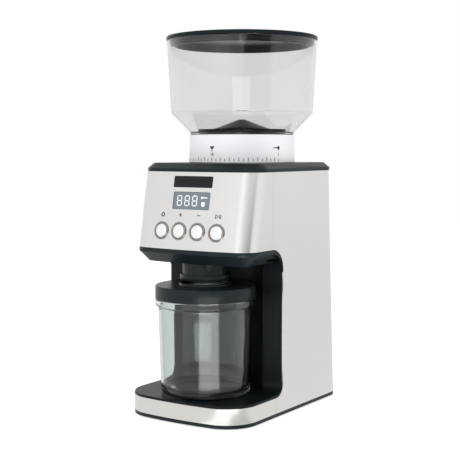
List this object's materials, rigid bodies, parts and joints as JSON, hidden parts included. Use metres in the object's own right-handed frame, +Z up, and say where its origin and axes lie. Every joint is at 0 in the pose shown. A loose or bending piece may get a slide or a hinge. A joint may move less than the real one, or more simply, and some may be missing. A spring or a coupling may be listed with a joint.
{
  "type": "burr coffee grinder",
  "caption": "Burr coffee grinder: a clear bean hopper on a grind setting ring feeds burrs inside a steel body, and grounds drop into a lidded jar in its front bay.",
  "frame": {"origin": "centre of the overall box, on the surface that the feet stand on", "axes": "+Z up; the front with the buttons and the jar faces -Y; +X is to the right of a person who looks at the front"},
  "size_m": [0.16, 0.209, 0.39],
  "materials": {
    "steel_skin": "brushed",
    "black_plastic": "satin moulded plastic",
    "lid_plastic": "satin moulded plastic",
    "ring_plastic": "satin white",
    "clear_plastic": "clear, lightly tinted",
    "button_silver": "satin silver",
    "bezel_silver": "polished",
    "nameplate_black": "gloss",
    "display_glass": "smooth window",
    "display_body": "display module",
    "board_green": "laminate with lacquer",
    "electric_parts": "moulded cases",
    "inner_plastic": "moulded, undecorated",
    "case_metal": "die cast",
    "gear_plastic": "natural engineering plastic",
    "burr_steel": "hardened, ground",
    "shaft_steel": "ground",
    "screw_steel": "zinc plated",
    "sheet_steel": "galvanised sheet",
    "magnet": "sintered ferrite",
    "armature": "laminated core with copper windings",
    "brass_parts": "plain",
    "rubber": "soft, matt",
    "seal": "dark silicone"
  },
  "bodies": {
    "housing": {"base_plate": "black_plastic", "rubber_feet": "rubber", "base_screws": "screw_steel", "base_band": "steel_skin", "base_deck": "black_plastic", "bay_liner": "black_plastic", "chin_cover": "black_plastic", "rear_shell": "steel_skin", "front_shell": "steel_skin", "top_cover": "black_plastic", "nameplate": "nameplate_black", "display_lens": "display_glass", "display_module": "display_body", "panel_carrier": "inner_plastic", "control_board": "board_green", "tact_switches": "electric_parts", "board_screws": "screw_steel", "button_bezels": "bezel_silver", "outlet_chute": "black_plastic", "burr_chamber": "inner_plastic", "gear_case": "case_metal", "gear_case_lid": "case_metal", "gear_case_screws": "screw_steel", "shaft_bushes": "brass_parts", "idler_pin": "shaft_steel", "motor_can": "sheet_steel", "motor_end_bell": "inner_plastic", "motor_magnets": "magnet", "motor_screws": "screw_steel", "motor_bracket": "sheet_steel", "bracket_screws": "screw_steel", "power_board": "board_green", "power_parts": "electric_parts", "cord_gland": "rubber"},
    "burr_drive": {"burr_shaft": "shaft_steel", "output_gear": "gear_plastic", "impeller": "gear_plastic", "cone_burr": "burr_steel", "burr_nut": "screw_steel"},
    "idler": {"idler_gear": "gear_plastic"},
    "rotor": {"motor_armature": "armature", "motor_shaft": "shaft_steel", "motor_pinion": "brass_parts"},
    "burr_carrier": {"burr_holder": "inner_plastic", "ring_burr": "burr_steel", "burr_screws": "screw_steel"},
    "setting_ring": {"setting_ring": "ring_plastic"},
    "hopper": {"hopper": "clear_plastic", "hopper_base": "black_plastic", "bean_guard": "black_plastic"},
    "hopper_lid": {"hopper_lid": "lid_plastic", "lid_seal": "seal"},
    "jar": {"jar": "clear_plastic"},
    "jar_lid": {"jar_lid": "lid_plastic"},
    "button_mode": {"button_mode": "button_silver"},
    "button_plus": {"button_plus": "button_silver"},
    "button_minus": {"button_minus": "button_silver"},
    "button_start": {"button_start": "button_silver"}
  },
  "joints": [
    {"name": "burr_spin", "type": "hinge", "parent": "housing", "child": "burr_drive", "pos_m": [0, 0.015, 0.191], "axis": [0, 0, 1], "continuous": true},
    {"name": "idler_spin", "type": "hinge", "parent": "housing", "child": "idler", "pos_m": [0.03, 0.04331, 0.1605], "axis": [0, 0, 1], "continuous": true},
    {"name": "rotor_spin", "type": "hinge", "parent": "housing", "child": "rotor", "pos_m": [0, 0.04331, 0.1605], "axis": [0, 0, 1], "continuous": true},
    {"name": "setting_turn", "type": "hinge", "parent": "housing", "child": "setting_ring", "pos_m": [0, 0.015, 0.2582], "axis": [0, 0, 1], "range_deg": [-75, 75]},
    {"name": "burr_adjust", "type": "slide", "parent": "housing", "child": "burr_carrier", "axis": [0, 0, 1], "range_m": [-0.0005, 0.0005]},
    {"name": "hopper_lift", "type": "slide", "parent": "setting_ring", "child": "hopper", "axis": [0, 0, 1], "range_m": [0, 0.08]},
    {"name": "hopper_lid_lift", "type": "slide", "parent": "hopper", "child": "hopper_lid", "axis": [0, 0, 1], "range_m": [0, 0.05]},
    {"name": "jar_slide", "type": "slide", "parent": "housing", "child": "jar", "axis": [0, -1, 0], "range_m": [0, 0.15]},
    {"name": "jar_lid_twist", "type": "hinge", "parent": "jar", "child": "jar_lid", "pos_m": [0, -0.0528, 0.1204], "axis": [0, 0, 1], "range_deg": [0, 30]},
    {"name": "button_mode_press", "type": "slide", "parent": "housing", "child": "button_mode", "axis": [0.0792, 0.9796, -0.1848], "range_m": [0, 0.0012], "stiffness_N_per_m": 300, "springref_m": -0.001},
    {"name": "button_plus_press", "type": "slide", "parent": "housing", "child": "button_plus", "axis": [0.0264, 0.9823, -0.1853], "range_m": [0, 0.0012], "stiffness_N_per_m": 300, "springref_m": -0.001},
    {"name": "button_minus_press", "type": "slide", "parent": "housing", "child": "button_minus", "axis": [-0.0264, 0.9823, -0.1853], "range_m": [0, 0.0012], "stiffness_N_per_m": 300, "springref_m": -0.001},
    {"name": "button_start_press", "type": "slide", "parent": "housing", "child": "button_start", "axis": [-0.0792, 0.9796, -0.1848], "range_m": [0, 0.0012], "stiffness_N_per_m": 300, "springref_m": -0.001}
  ],
  "couplings": [
    {"joint": "idler_spin", "follows": "burr_spin", "ratio": -3.7143},
    {"joint": "rotor_spin", "follows": "burr_spin", "ratio": 14.857},
    {"joint": "burr_adjust", "follows": "setting_turn", "m_per_rad": 0.00031831}
  ]
}
